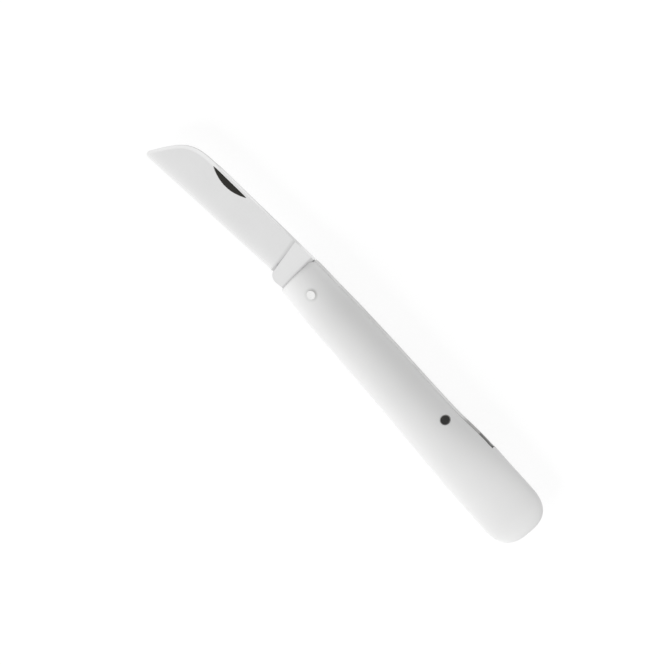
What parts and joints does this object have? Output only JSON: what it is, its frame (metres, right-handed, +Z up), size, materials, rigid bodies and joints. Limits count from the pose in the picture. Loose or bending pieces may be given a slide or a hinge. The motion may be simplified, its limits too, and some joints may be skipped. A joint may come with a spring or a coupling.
{
  "type": "budding knife",
  "caption": "Slip-joint folding budding knife with a straight blade, a nail nick and a one-piece moulded handle whose flattened butt lifts bark.",
  "frame": {"origin": "On the ground under the middle of the open knife's bounding box, the knife lying on its side.", "axes": "+X along the knife from the blade's point towards the butt, +Y from the cutting edge towards the back, +Z up through the thickness, which is also the axis of the pivot."},
  "size_m": [0.1616, 0.0226, 0.0104],
  "materials": {
    "white_nylon": "moulded, smooth, lightly worn satin",
    "satin_blade_steel": "fine satin grind across the blade, brighter sharpened edge",
    "spring_steel": "plain ground steel",
    "bright_rivet_steel": "bright, headed over to a low dome",
    "dark_pin_steel": "dark, ground flush with the handle"
  },
  "bodies": {
    "handle_body": {"handle": "white_nylon", "pivot_rivet": "bright_rivet_steel", "spring_pin": "dark_pin_steel"},
    "blade_body": {"blade": "satin_blade_steel"},
    "spring_body": {"back_spring": "spring_steel"}
  },
  "joints": [
    {"name": "blade_pivot", "type": "hinge", "parent": "handle_body", "child": "blade_body", "pos_m": [-0.0158, 0.00036, 0.0052], "axis": [0, 0, 1], "range_deg": [0, 168]},
    {"name": "spring_flex", "type": "hinge", "parent": "handle_body", "child": "spring_body", "pos_m": [0.0386, 0.00586, 0.0052], "axis": [0, 0, -1], "range_deg": [0, 0.9], "stiffness_Nm_per_rad": 0.5}
  ]
}
